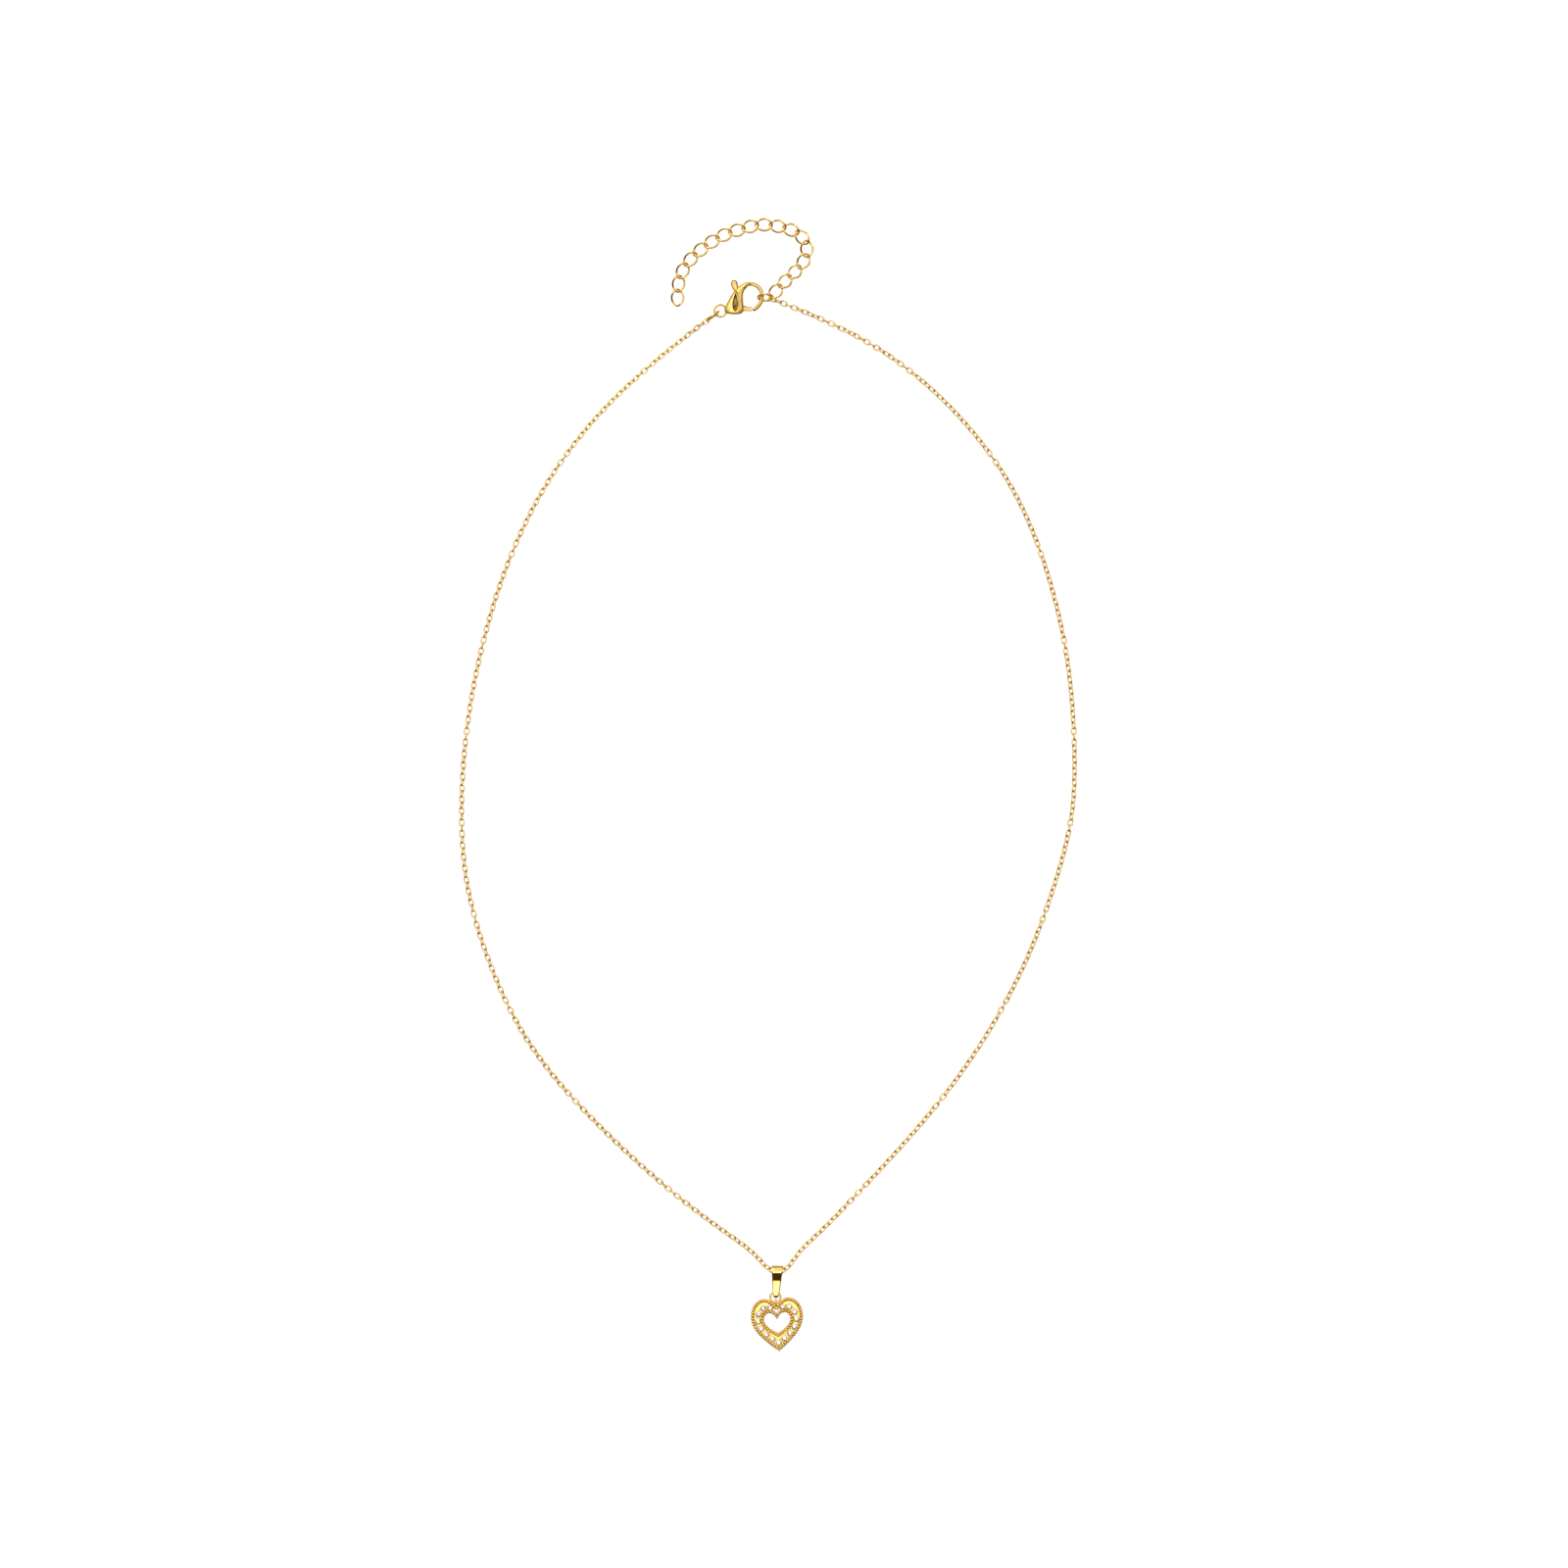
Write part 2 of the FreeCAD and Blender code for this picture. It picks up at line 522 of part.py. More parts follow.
def heart_wire(half, z=0.0):
    """Closed heart outline with its notch and tip left sharp."""
    right = Part.BSplineCurve()
    right.interpolate(Points=[Vector(u, v, z) for u, v in half])
    left = Part.BSplineCurve()
    left.interpolate(Points=[Vector(-u, v, z) for u, v in half[::-1]])
    return Part.Wire([right.toShape(), left.toShape()])


def heart_placement():
    return Placement(HEART_CENTRE, Rotation(Vector(0, 0, 1), HEART_TURN))


def stone_shape(grow=0.0):
    """Round stone: flat table, crown, thin girdle and pointed pavilion."""
    r = STONE_DIAMETER / 2 + grow
    g = HEART_THICKNESS - CHANNEL_DEPTH + 0.02
    profile = [Vector(0, 0, g + 0.20 + grow), Vector(r * 0.58, 0, g + 0.20 + grow), Vector(r, 0, g + 0.02),
               Vector(r, 0, g - 0.03), Vector(0, 0, g - 0.52 - grow)]
    face = Part.Face(Part.makePolygon(profile + profile[:1]))
    return face.revolve(Vector(), Vector(0, 0, 1), 360)


def moved_half(half, inset):
    """Half outline moved sideways into the heart, its two ends kept on the middle line."""
    moved = []
    last = len(half) - 1
    for i, (u, v) in enumerate(half):
        du = half[min(i + 1, last)][0] - half[max(i - 1, 0)][0]
        dv = half[min(i + 1, last)][1] - half[max(i - 1, 0)][1]
        size = math.hypot(du, dv)
        if i in (0, last):
            moved.append((0.0, v - inset * size / du))
        else:
            moved.append((u + inset * dv / size, v - inset * du / size))
    return moved


def bead_points(half, inset, count):
    """Evenly spaced points along a heart outline moved into the metal."""
    return heart_wire(moved_half(half, inset)).discretize(Number=count + 1)[:-1]


def heart_nodes():
    top = Vector(0, 0, HEART_THICKNESS)
    channel_floor = HEART_THICKNESS - CHANNEL_DEPTH
    outer, inner, outside, inside = [
        Part.Face(heart_wire(moved_half(half, inset))).extrude(top)
        for half, inset in ((HEART_OUTER_HALF, EDGE_INSET), (HEART_INNER_HALF, -EDGE_INSET),
                            (HEART_OUTER_HALF, CHANNEL_INSET), (HEART_INNER_HALF, -CHANNEL_INSET))]
    channel = outside.cut(inside)
    channel.translate(Vector(0, 0, channel_floor))
    plate = outer.cut(inner).cut(channel)
    beads = []
    for half, inset, count in ((HEART_OUTER_HALF, BEAD_INSET, OUTER_BEADS),
                               (HEART_INNER_HALF, -BEAD_INSET, INNER_BEADS)):
        for p in bead_points(half, inset, count):
            beads.append(Part.makeSphere(BEAD_RADIUS, Vector(p.x, p.y, HEART_THICKNESS - 0.12)))
    places = mirrored(STONE_HALF)
    for (u1, v1), (u2, v2) in zip(places, places[1:] + places[:1]):
        along = Vector(u2 - u1, v2 - v1, 0).normalize()
        middle = Vector(0.5 * (u1 + u2), 0.5 * (v1 + v2), channel_floor + 0.04)
        for side in (-0.42, 0.42):
            beads.append(Part.makeSphere(GRAIN_RADIUS, middle + Vector(-along.y, along.x, 0) * side))
    frame = plate.multiFuse(beads)
    stones = []
    for u, v in places:
        seat = stone_shape(0.012)
        seat.translate(Vector(u, v, 0))
        well = Part.makeCylinder(STONE_DIAMETER / 2 + 0.012, 1.0, Vector(u, v, channel_floor - 0.02))
        frame = frame.cut(seat.fuse(well))
        stone = stone_shape()
        stone.translate(Vector(u, v, 0))
        stones.append(stone)
    place = heart_placement()
    frame.Placement = place
    for stone in stones:
        stone.Placement = place.multiply(stone.Placement)
    eye = Part.makeTorus(EYE_MEAN_RADIUS, EYE_WIRE / 2, EYE_CENTRE, Vector(1, 0, 0))
    post = Part.makeCylinder(0.20, 0.55, Vector(EYE_CENTRE.x, EYE_CENTRE.y - EYE_MEAN_RADIUS + 0.02, EYE_CENTRE.z),
                             Vector(0, -1, 0))
    frame = frame.multiFuse([eye, post])
    return {"heart_frame": [frame], "heart_stones": stones}


def build():
    nodes = {}
    nodes.update(chain_nodes())
    nodes.update(ring_nodes())
    nodes.update(clasp_nodes())
    nodes.update(extender_nodes())
    nodes.update(bail_nodes())
    nodes.update(heart_nodes())
    return nodes


def main():
    os.makedirs("parts", exist_ok=True)
    for name, solids in build().items():
        shape = solids[0] if len(solids) == 1 else Part.makeCompound(solids)
        shape.exportStep("parts/%s.step" % name)
        box = shape.BoundBox
        print("%-20s solids %3d  faces %4d  volume %8.3f  valid %s  z %.2f..%.2f" % (
            name, len(shape.Solids), len(shape.Faces), shape.Volume, shape.isValid(), box.ZMin, box.ZMax))


if __name__ == "__main__":
    main()
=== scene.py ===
import math

import bmesh
import bpy
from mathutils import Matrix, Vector

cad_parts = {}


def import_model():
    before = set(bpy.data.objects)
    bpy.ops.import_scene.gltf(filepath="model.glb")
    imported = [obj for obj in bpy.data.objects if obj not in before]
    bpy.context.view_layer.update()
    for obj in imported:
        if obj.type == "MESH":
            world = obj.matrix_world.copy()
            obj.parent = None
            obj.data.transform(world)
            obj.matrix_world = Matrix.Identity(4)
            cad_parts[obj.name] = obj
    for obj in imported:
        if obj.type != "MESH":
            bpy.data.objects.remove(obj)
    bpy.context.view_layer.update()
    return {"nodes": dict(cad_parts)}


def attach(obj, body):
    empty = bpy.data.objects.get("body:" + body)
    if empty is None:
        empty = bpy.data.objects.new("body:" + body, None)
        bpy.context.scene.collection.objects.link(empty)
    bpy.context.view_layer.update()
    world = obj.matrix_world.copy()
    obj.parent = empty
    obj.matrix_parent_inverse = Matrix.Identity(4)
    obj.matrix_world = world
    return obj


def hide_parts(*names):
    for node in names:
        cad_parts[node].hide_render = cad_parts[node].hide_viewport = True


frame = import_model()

MM = 0.001
NODES = frame["nodes"]
X, Y, Z = Vector((1, 0, 0)), Vector((0, 1, 0)), Vector((0, 0, 1))


# ---------------------------------------------------------------- materials
PALE_GOLD = (0.99, 0.76, 0.30)
DEEP_GOLD = (0.90, 0.61, 0.15)
# Noise scales of the gold, in features per metre.
DRIFT_SCALE = 900
MARK_SCALE = 3500
LINE_SCALE = 6000
LINE_STRENGTH = 0.35
LINE_DEPTH = 0.008 * MM
STONE_REFLECTION_SCALE = 5200


def material(name):
    mat = bpy.data.materials.new(name)
    mat.use_nodes = True
    tree = mat.node_tree
    return mat, tree, tree.nodes["Principled BSDF"]


def noise(tree, scale, detail, vector=None):
    """Noise over the object's own coordinates; scale is features per metre."""
    node = tree.nodes.new("ShaderNodeTexNoise")
    node.inputs["Scale"].default_value = scale
    node.inputs["Detail"].default_value = detail
    if vector is None:
        vector = tree.nodes.new("ShaderNodeTexCoord").outputs["Object"]
    tree.links.new(vector, node.inputs["Vector"])
    return node


def ramp(tree, source, stops):
    node = tree.nodes.new("ShaderNodeValToRGB")
    elements = node.color_ramp.elements
    elements[0].position, elements[0].color = stops[0][0], (*stops[0][1], 1)
    elements[1].position, elements[1].color = stops[-1][0], (*stops[-1][1], 1)
    for place, colour in stops[1:-1]:
        elements.new(place).color = (*colour, 1)
    tree.links.new(source, node.inputs["Fac"])
    return node


def gold(name, rough, pale=PALE_GOLD, deep=DEEP_GOLD, scratch=True):
    """Warm polished gold: slow colour drift, marks in the gloss and fine polishing lines in the bump."""
    mat, tree, bsdf = material(name)
    bsdf.inputs["Metallic"].default_value = 1.0
    drift = noise(tree, DRIFT_SCALE, 3)
    colour = ramp(tree, drift.outputs["Fac"], [(0.32, deep), (0.68, pale)])
    tree.links.new(colour.outputs["Color"], bsdf.inputs["Base Color"])
    marks = noise(tree, MARK_SCALE, 5)
    gloss = tree.nodes.new("ShaderNodeMapRange")
    gloss.inputs["From Min"].default_value = 0.3
    gloss.inputs["From Max"].default_value = 0.7
    gloss.inputs["To Min"].default_value = rough[0]
    gloss.inputs["To Max"].default_value = rough[1]
    tree.links.new(marks.outputs["Fac"], gloss.inputs["Value"])
    tree.links.new(gloss.outputs["Result"], bsdf.inputs["Roughness"])
    if scratch:
        stretch = tree.nodes.new("ShaderNodeMapping")
        stretch.inputs["Scale"].default_value = (1.0, 5.0, 2.0)
        stretch.inputs["Rotation"].default_value = (0.2, 0.1, 0.6)
        coords = tree.nodes.new("ShaderNodeTexCoord")
        tree.links.new(coords.outputs["Object"], stretch.inputs["Vector"])
        lines = noise(tree, LINE_SCALE, 4, stretch.outputs["Vector"])
        dent = tree.nodes.new("ShaderNodeBump")
        dent.inputs["Strength"].default_value = LINE_STRENGTH
        dent.inputs["Distance"].default_value = LINE_DEPTH
        tree.links.new(lines.outputs["Fac"], dent.inputs["Height"])
        tree.links.new(dent.outputs["Normal"], bsdf.inputs["Normal"])
    return mat


def stone_material():
    """Clear stone: bright facets over painted reflections, a broken grey and white pattern like the one seen
    through its table.
    """
    mat, tree, bsdf = material("clear_stone")
    coords = tree.nodes.new("ShaderNodeTexCoord")
    # The grey and white cells are painted reflections in the stone's colour, standing in for what its facets
    # reflect.
    reflection_cells = tree.nodes.new("ShaderNodeTexVoronoi")
    reflection_cells.inputs["Scale"].default_value = STONE_REFLECTION_SCALE
    tree.links.new(coords.outputs["Object"], reflection_cells.inputs["Vector"])
    split = tree.nodes.new("ShaderNodeSeparateColor")
    tree.links.new(reflection_cells.outputs["Color"], split.inputs["Color"])
    tone = ramp(tree, split.outputs["Red"], [(0.12, (0.30, 0.29, 0.30)), (0.40, (0.86, 0.86, 0.88)),
                                             (0.75, (1.0, 1.0, 1.0))])
    tree.links.new(tone.outputs["Color"], bsdf.inputs["Base Color"])
    bsdf.inputs["Metallic"].default_value = 0.55
    bsdf.inputs["Roughness"].default_value = 0.04
    bsdf.inputs["IOR"].default_value = 2.15
    bsdf.inputs["Coat Weight"].default_value = 0.8
    return mat


GOLD_CHAIN = gold("gold_chain", rough=(0.14, 0.22))
GOLD_EXT = gold("gold_extender", rough=(0.14, 0.22), pale=(0.97, 0.73, 0.24), deep=(0.88, 0.58, 0.12))
GOLD_CLASP = gold("gold_clasp", rough=(0.18, 0.30), pale=(0.92, 0.68, 0.24), deep=(0.80, 0.53, 0.12))
# Pocket gold: rougher, and its darker colour is painted shade for the hollow's walls and floor.
GOLD_POCKET_SHADE = gold("gold_pocket_shade", rough=(0.30, 0.48), pale=(0.50, 0.30, 0.10), deep=(0.20, 0.10, 0.03))
# Lever gold: rougher, and its darker colour is painted shade for the dished thumb tab and the gate.
GOLD_LEVER_SHADED = gold("gold_lever", rough=(0.26, 0.40), pale=(0.80, 0.56, 0.20), deep=(0.64, 0.42, 0.11))
GOLD_SETTING = gold("gold_setting", rough=(0.16, 0.27))
GOLD_BAIL = gold("gold_bail", rough=(0.05, 0.13), scratch=False)
STONE = stone_material()


def paint(obj, mat):
    obj.data.materials.clear()
    obj.data.materials.append(mat)


for name, obj in NODES.items():
    if name.startswith("chain"):
        paint(obj, GOLD_CHAIN)
    elif name.startswith("extender") or name.startswith("ring"):
        paint(obj, GOLD_EXT)
    elif name.startswith("clasp"):
        paint(obj, GOLD_CLASP)
    elif name == "heart_stones":
        paint(obj, STONE)
    else:
        paint(obj, GOLD_SETTING)


# ---------------------------------------------------------------- mesh helpers
def shade_smooth(mesh, degrees):
    """Smooth shading across every edge that is blunter than the given angle."""
    for face in mesh.polygons:
        face.use_smooth = True
    mesh.set_sharp_from_angle(angle=math.radians(degrees))


def mesh_object(name, verts, faces, mat, smooth_angle=None):
    """Object from vertices in millimetres; its faces shade smooth below the given angle."""
    mesh = bpy.data.meshes.new(name)
    mesh.from_pydata([Vector(v) * MM for v in verts], [], faces)
    mesh.validate()
    work = bmesh.new()
    work.from_mesh(mesh)
    bmesh.ops.recalc_face_normals(work, faces=work.faces)
    work.to_mesh(mesh)
    work.free()
    mesh.materials.append(mat)
    obj = bpy.data.objects.new(name, mesh)
    bpy.context.scene.collection.objects.link(obj)
    if smooth_angle is not None:
        shade_smooth(mesh, smooth_angle)
    return obj


def add_part(verts, faces, part):
    """Adds one closed part to the lists of a piece made of many parts."""
    start = len(verts)
    verts.extend(part[0])
    faces.extend([tuple(start + i for i in face) for face in part[1]])


def grid_faces(rows, columns, close_rows=False):
    """Quads between neighbouring rings of vertices; close_rows also joins the last ring to the first."""
    faces = []
    for r in range(rows if close_rows else rows - 1):
        for c in range(columns):
            nr, nc = (r + 1) % rows, (c + 1) % columns
            faces.append((r * columns + c, r * columns + nc, nr * columns + nc, nr * columns + c))
    return faces


def smooth_path(points, closed, steps):
    """Catmull-Rom curve through the points."""
    count = len(points)
    path = []
    for i in range(count if closed else count - 1):
        if closed:
            a, b, c, d = [points[(i + k) % count] for k in (-1, 0, 1, 2)]
        else:
            a, b, c, d = [points[min(max(i + k, 0), count - 1)] for k in (-1, 0, 1, 2)]
        for s in range(steps):
            t = s / steps
            path.append(tuple(0.5 * (2 * q + (r - p) * t + (2 * p - 5 * q + 4 * r - w) * t ** 2
                                     + (3 * q - p - 3 * r + w) * t ** 3) for p, q, r, w in zip(a, b, c, d)))
    if not closed:
        path.append(tuple(points[-1]))
    return path


def even_points(path, count, closed):
    """Points at equal distances along a path."""
    pts = [Vector(p) for p in path]
    if closed:
        pts.append(pts[0])
    lengths = [0.0]
    for a, b in zip(pts, pts[1:]):
        lengths.append(lengths[-1] + (b - a).length)
    out = []
    k = 0
    for i in range(count):
        goal = lengths[-1] * i / (count if closed else count - 1)
        while k < len(pts) - 2 and lengths[k + 1] < goal:
            k += 1
        share = (goal - lengths[k]) / max(lengths[k + 1] - lengths[k], 1e-9)
        out.append(pts[k].lerp(pts[k + 1], share))
    return out


def dome(centre, along, across, half_along, half_across, height, depth, rows=9, columns=20):
    """Rounded lump with its own half size along and across, and its own height and depth."""
    verts = [centre + Vector((0, 0, height))]
    for r in range(1, rows):
        tilt = math.pi * r / rows
        reach, rise = math.sin(tilt), math.cos(tilt)
        for c in range(columns):
            turn = 2 * math.pi * c / columns
            flat = along * (half_along * reach * math.cos(turn))
            flat += across * (half_across * reach * math.sin(turn))
            verts.append(centre + flat + Vector((0, 0, rise * (height if rise > 0 else depth))))
    verts.append(centre - Vector((0, 0, depth)))
    faces = [(0, 1 + c, 1 + (c + 1) % columns) for c in range(columns)]
    faces += [tuple(1 + i for i in f) for f in grid_faces(rows - 1, columns)]
    base = 1 + (rows - 2) * columns
    faces += [(base + c, len(verts) - 1, base + (c + 1) % columns) for c in range(columns)]
    return verts, faces


def torus(verts, faces, centre, axes, mean, wire, count, around):
    """Round wire bent to a ring in the plane of the first two axes; the third is the ring's own axis."""
    first, second, normal = axes
    ring = []
    for i in range(count):
        a = 2 * math.pi * i / count
        out = first * math.cos(a) + second * math.sin(a)
        for j in range(around):
            b = 2 * math.pi * j / around
            ring.append(centre + out * (mean + wire * math.cos(b)) + normal * (wire * math.sin(b)))
    add_part(verts, faces, (ring, grid_faces(count, around, close_rows=True)))


# ---------------------------------------------------------------- heart
HEART_CENTRE = Vector((1.85, -103.60, 0.0))
HEART_TURN = math.radians(3.9)
HEART_TOP = 1.40
OUTER_BEADS = 54
INNER_BEADS = 30
BEAD_Z = 1.14
BEAD_RISE = 0.38
BEAD_DEPTH = 0.5
HEART_STEPS = 280
HEART_SHARP = 50
GRAIN_OFFSET = 0.40
SEAT_SIDES = 28
STONE_RADIUS = 0.545
STONE_Z = 1.29
STONE_TURN = 0.9
# One side of each outline from the notch to the tip, in the heart's own axes; the other side mirrors it.
OUTER_HALF = [(0.0, 3.60), (0.85, 4.42), (2.25, 5.02), (3.85, 4.42), (4.80, 2.95),
              (5.00, 0.95), (4.35, -0.90), (3.20, -2.42), (1.65, -3.92), (0.0, -5.22)]
INNER_HALF = [(0.0, 0.85), (0.62, 1.80), (1.45, 2.20), (2.22, 1.78), (2.48, 0.85),
              (2.10, -0.05), (1.22, -0.92), (0.0, -1.66)]
STONE_HALF = [(0.0, 2.40), (1.16, 3.21), (2.48, 3.21), (3.46, 2.16), (3.71, 0.75),
              (3.20, -0.69), (2.25, -1.85), (1.15, -2.80), (0.0, -3.60)]
# Section of the band from the outer back edge to the channel: distance in from the outline, and height.
BAND_SIDE = [(0.26, 0.0), (0.16, 0.06), (0.12, 0.30), (0.12, 0.80), (0.16, 1.10), (0.26, 1.20), (0.46, 1.20),
             (0.56, 1.25), (0.59, HEART_TOP - 0.05), (0.62, HEART_TOP), (0.66, HEART_TOP - 0.01),
             (0.69, HEART_TOP - 0.08), (0.71, HEART_TOP - 0.17)]
# Section of the collar round a stone: distance from the stone's axis, and height.
SEAT_RIM = [(0.56, 1.02), (0.56, 1.30), (0.585, 1.335), (0.63, 1.325), (0.66, 1.22), (0.66, 1.02)]
# Rings of a stone's corners: radius and height in stone radii, number of corners, and offset in steps.
STONE_RINGS = [(0.55, 0.34, 8, 0.0), (0.79, 0.19, 8, 0.5), (1.0, 0.0, 16, 0.0), (1.0, -0.05, 16, 0.0),
               (0.42, -0.55, 8, 0.0)]
STONE_DEPTH = 0.92
EYE_X, EYE_Y, EYE_Z = 1.53, -99.47, 0.69
EYE_MEAN = 0.50
EYE_WIRE = 0.17
# Post between the eye and the band: place along y, and radius.
EYE_POST = [(-99.93, 0.17), (-100.05, 0.19), (-100.25, 0.21), (-100.55, 0.24)]
POST_SIDES = 18


def heart_place(u, v, z):
    c, s = math.cos(HEART_TURN), math.sin(HEART_TURN)
    return HEART_CENTRE + Vector((u * c - v * s, u * s + v * c, z))


def heart_direction(flat):
    """A direction in the heart's own axes, turned with the heart."""
    return (heart_place(flat.x, flat.y, 0) - HEART_CENTRE).normalized()


def stone_places():
    return STONE_HALF + [(-u, v) for u, v in STONE_HALF[-2:0:-1]]


def heart_loop(half, count):
    """Evenly spaced closed loop, starting at the notch and going down the right side."""
    right = even_points(smooth_path(half, False, 16), count // 2 + 1, False)
    return right + [Vector((-p.x, p.y)) for p in right[-2:0:-1]]


def moved_half(half, inset):
    """Half outline moved sideways, its two ends kept on the middle line."""
    moved = []
    last = len(half) - 1
    for i, (u, v) in enumerate(half):
        du = half[min(i + 1, last)][0] - half[max(i - 1, 0)][0]
        dv = half[min(i + 1, last)][1] - half[max(i - 1, 0)][1]
        size = math.hypot(du, dv)
        if i in (0, last):
            moved.append((0.0, v - inset * size / du))
        else:
            moved.append((u + inset * dv / size, v - inset * du / size))
    return moved


def heart_normal(loop, i):
    """Sideways direction of the loop at one of its points, in the heart's own axes."""
    ahead = (loop[(i + 1) % len(loop)] - loop[i - 1]).normalized()
    return Vector((ahead.y, -ahead.x))


def heart_body(verts, faces):
    """Band between the two outlines: rolled edges, raised lips and a lower channel for the stones."""
    rows = []
    for half, way, stations in ((OUTER_HALF, 1, BAND_SIDE), (INNER_HALF, -1, BAND_SIDE[::-1])):
        for depth, z in stations:
            loop = heart_loop(moved_half(half, depth * way), HEART_STEPS)
            rows.append([heart_place(p.x, p.y, z) for p in loop])
    points = [v for row in rows for v in row]
    add_part(verts, faces, (points, grid_faces(len(rows), HEART_STEPS, close_rows=True)))


def heart_beads(verts, faces):
    """Milled edge: lumps longer across the rim than along it, set along both outlines."""
    rims = ((OUTER_HALF, OUTER_BEADS, 0.33, 0.36), (INNER_HALF, INNER_BEADS, -0.27, 0.30))
    for half, count, inset, reach in rims:
        loop = heart_loop(moved_half(half, inset), count)
        spacing = (loop[1] - loop[0]).length
        for i, p in enumerate(loop):
            across = heart_direction(heart_normal(loop, i))
            along = Vector((-across.y, across.x, 0))
            uneven = 1 + 0.05 * math.sin(7.3 * i) * math.cos(2.1 * i)
            centre = heart_place(p.x, p.y, BEAD_Z)
            half_along = spacing * 0.50 * uneven
            add_part(verts, faces, dome(centre, along, across, half_along, reach, BEAD_RISE, BEAD_DEPTH))


def heart_grains(verts, faces):
    """Small prongs that hold the stones, two between every pair of neighbours."""
    places = [Vector(p) for p in stone_places()]
    for i, p in enumerate(places):
        q = places[(i + 1) % len(places)]
        along = (q - p).normalized()
        across = Vector((-along.y, along.x))
        for side in (-GRAIN_OFFSET, GRAIN_OFFSET):
            spot = (p + q) * 0.5 + across * side
            centre = heart_place(spot.x, spot.y, HEART_TOP - 0.12)
            wide = heart_direction(across)
            narrow = Vector((wide.y, -wide.x, 0))
            add_part(verts, faces, dome(centre, narrow, wide, 0.13, 0.155, 0.20, 0.2, rows=7, columns=14))


def heart_seats(verts, faces):
    """Raised collar round each stone, with a narrow gap between the two."""
    for u, v in stone_places():
        ring = []
        for r, z in SEAT_RIM:
            for c in range(SEAT_SIDES):
                a = 2 * math.pi * c / SEAT_SIDES
                ring.append(heart_place(u + r * math.cos(a), v + r * math.sin(a), z))
        add_part(verts, faces, (ring, grid_faces(len(SEAT_RIM), SEAT_SIDES, close_rows=True)))


def heart_eye(verts, faces):
    """Fixed ring standing on edge at the notch, and the short post that joins it to the band."""
    torus(verts, faces, Vector((EYE_X, EYE_Y, EYE_Z)), (Y, Z, X), EYE_MEAN, EYE_WIRE, 48, 16)
    post = []
    for y, r in EYE_POST:
        for j in range(POST_SIDES):
            b = 2 * math.pi * j / POST_SIDES
            post.append(Vector((EYE_X + r * math.cos(b), y, EYE_Z + r * math.sin(b))))
    caps = [tuple(range(POST_SIDES)), tuple(range(len(post) - POST_SIDES, len(post)))]
    add_part(verts, faces, (post, grid_faces(len(EYE_POST), POST_SIDES) + caps))


def brilliant(verts, faces, centre, radius, turn):
    """Round brilliant: table, star, kite and girdle facets above, main and half facets below."""
    points = []
    for r, z, count, offset in STONE_RINGS:
        for k in range(count):
            a = turn + 2 * math.pi * (k + offset) / count
            points.append(centre + Vector((r * radius * math.cos(a), r * radius * math.sin(a), z * radius)))
    points.append(centre - Vector((0, 0, STONE_DEPTH * radius)))
    # The first corner of each ring in the list of points, and the tip below.
    table, star, girdle, under, main, tip = 0, 8, 16, 32, 48, 56
    shape = [tuple(range(8))]
    for k in range(8):
        n = (k + 1) % 8
        shape.append((table + k, star + k, table + n))
        shape.append((table + k, star + (k - 1) % 8, girdle + 2 * k, star + k))
        shape.append((star + k, girdle + 2 * k, girdle + 2 * k + 1))
        shape.append((star + k, girdle + 2 * k + 1, girdle + 2 * n))
        shape.append((main + k, under + 2 * k + 1, under + 2 * k))
        shape.append((main + k, main + n, under + 2 * k + 1))
        shape.append((main + n, under + 2 * n, under + 2 * k + 1))
        shape.append((main + k, tip, main + n))
    for k in range(16):
        n = (k + 1) % 16
        shape.append((girdle + k, under + k, under + n, girdle + n))
    add_part(verts, faces, (points, shape))


def build_heart():
    verts, faces = [], []
    heart_body(verts, faces)
    heart_beads(verts, faces)
    heart_grains(verts, faces)
    heart_seats(verts, faces)
    heart_eye(verts, faces)
    frame_obj = mesh_object("heart_setting", verts, faces, GOLD_SETTING, smooth_angle=HEART_SHARP)
    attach(frame_obj, "heart")
    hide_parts("heart_frame")
    verts, faces = [], []
    for i, (u, v) in enumerate(stone_places()):
        brilliant(verts, faces, heart_place(u, v, STONE_Z), STONE_RADIUS, STONE_TURN * i)
    stones = mesh_object("heart_brilliants", verts, faces, STONE)
    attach(stones, "heart")
    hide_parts("heart_stones")


build_heart()


# ---------------------------------------------------------------- bail
BAIL_TOP = (1.84, -92.40)
BAIL_LOW = (1.55, -98.62)
BAIL_THICKNESS = 0.24
BAIL_BEVEL = 0.10
BAIL_ROLL = 1.16
BAIL_TIP_HALF = 0.16
# Half of the strap's width against its distance from the top of the loop.
BAIL_WIDTHS = [(0.0, 1.13), (1.1, 1.05), (2.9, 0.86), (4.9, 0.68), (5.69, 0.53)]


def bail_half_width(y):
    """Half width of the strap, tapering down and rounded off at its lower end."""
    down = BAIL_TOP[1] - y
    if down >= BAIL_WIDTHS[-1][0]:
        tip = BAIL_WIDTHS[-1][1]
        return max(BAIL_TIP_HALF, math.sqrt(max(tip ** 2 - (down - BAIL_WIDTHS[-1][0]) ** 2, 0.0)))
    for (d0, w0), (d1, w1) in zip(BAIL_WIDTHS, BAIL_WIDTHS[1:]):
        if d0 <= down <= d1:
            return w0 + (w1 - w0) * (down - d0) / (d1 - d0)
    return BAIL_WIDTHS[0][1]


